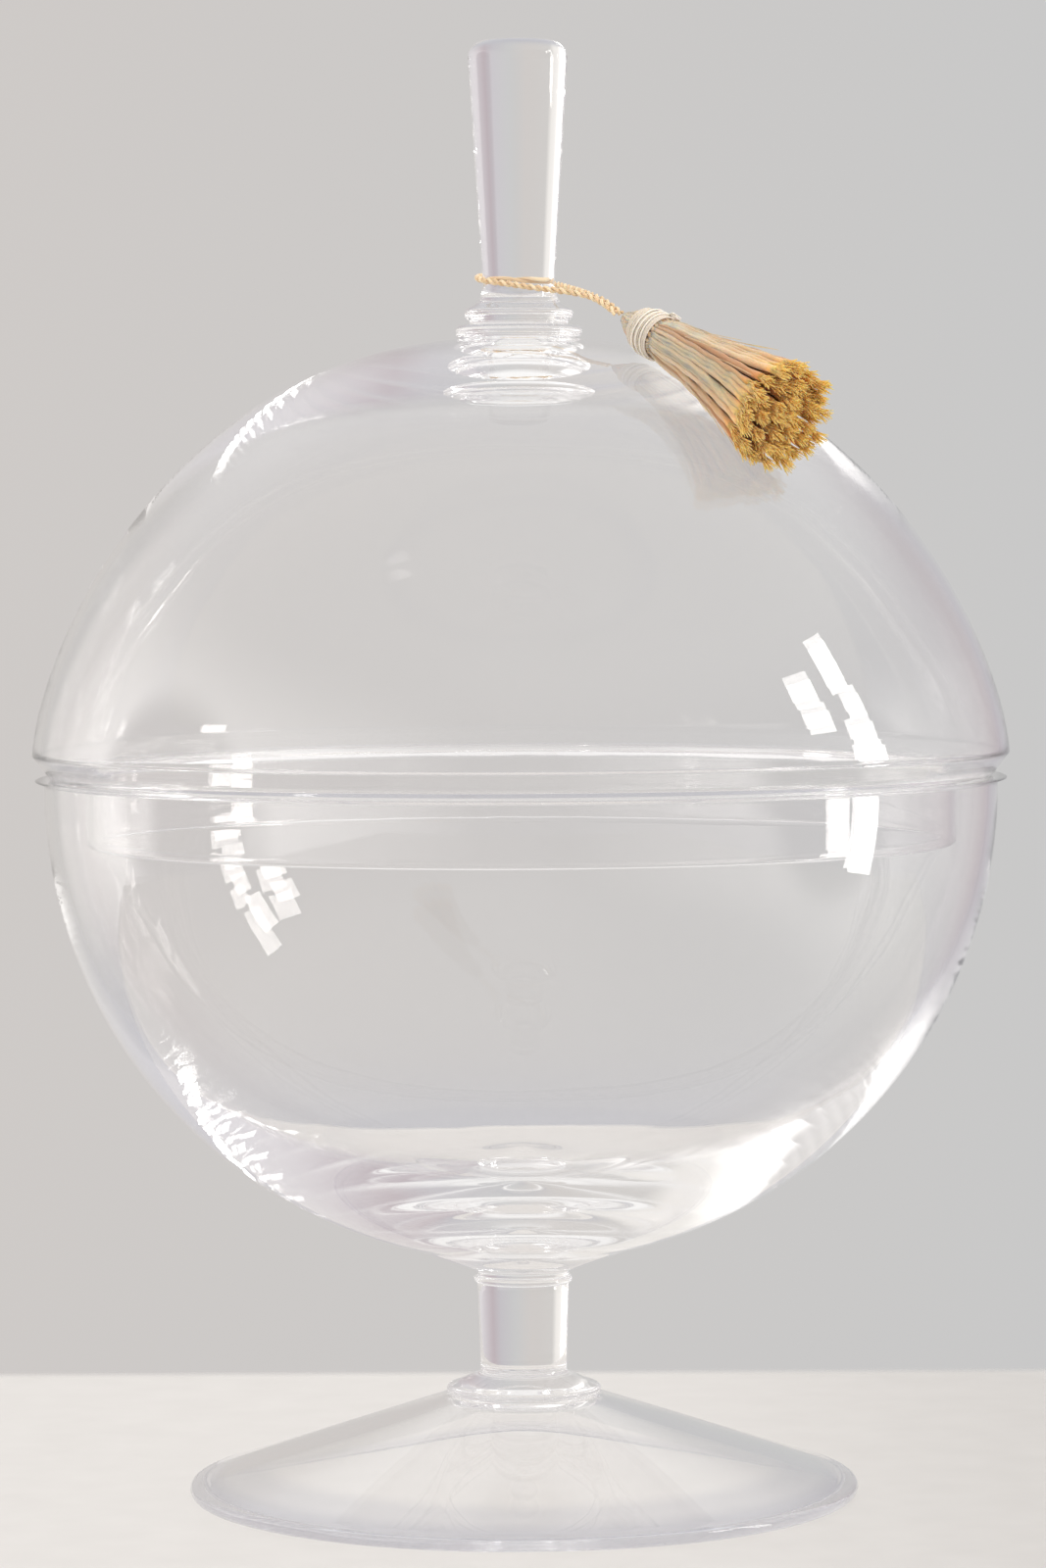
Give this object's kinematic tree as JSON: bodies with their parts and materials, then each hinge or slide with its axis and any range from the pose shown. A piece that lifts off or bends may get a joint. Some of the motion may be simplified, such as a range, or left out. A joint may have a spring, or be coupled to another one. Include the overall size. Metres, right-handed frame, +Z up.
{
  "type": "footed glass jar with lid",
  "caption": "Round footed clear glass jar with a domed lid, a solid rod handle and a twine loop with a straw-coloured tassel.",
  "frame": {"origin": "centre of the foot, on the plane that the jar stands on", "axes": "+Z up along the axis of the jar; +X to the right and -Y towards the viewer in the front view"},
  "size_m": [0.25, 0.25, 0.3728],
  "materials": {
    "clear_glass": "clear, polished, slightly uneven hand-made surface",
    "twine": "two-ply twisted straw-coloured twine",
    "yarn": "loose straw-coloured yarn with frayed golden ends",
    "thread": "fine off-white wound thread"
  },
  "bodies": {
    "jar": {"foot": "clear_glass", "foot_collar": "clear_glass", "stem": "clear_glass", "stem_ring": "clear_glass", "bowl": "clear_glass"},
    "lid": {"lid_dome": "clear_glass", "lid_flange": "clear_glass", "handle_ring": "clear_glass", "handle_bead": "clear_glass", "handle": "clear_glass"},
    "twine": {"tassel_twine": "twine"},
    "tassel": {"tassel_head": "yarn", "tassel_binding": "thread", "tassel_skirt": "yarn"}
  },
  "joints": [
    {"name": "lid_lift", "type": "slide", "parent": "jar", "child": "lid", "axis": [0, 0, 1], "range_m": [0, 0.15]},
    {"name": "twine_swivel", "type": "hinge", "parent": "lid", "child": "twine", "pos_m": [0, 0, 0.3114], "axis": [0, 0, 1], "continuous": true},
    {"name": "tassel_lift", "type": "hinge", "parent": "twine", "child": "tassel", "pos_m": [0.02633, -0.02823, 0.3012], "axis": [-0.7314, -0.682, 0], "range_deg": [0, 70]}
  ]
}
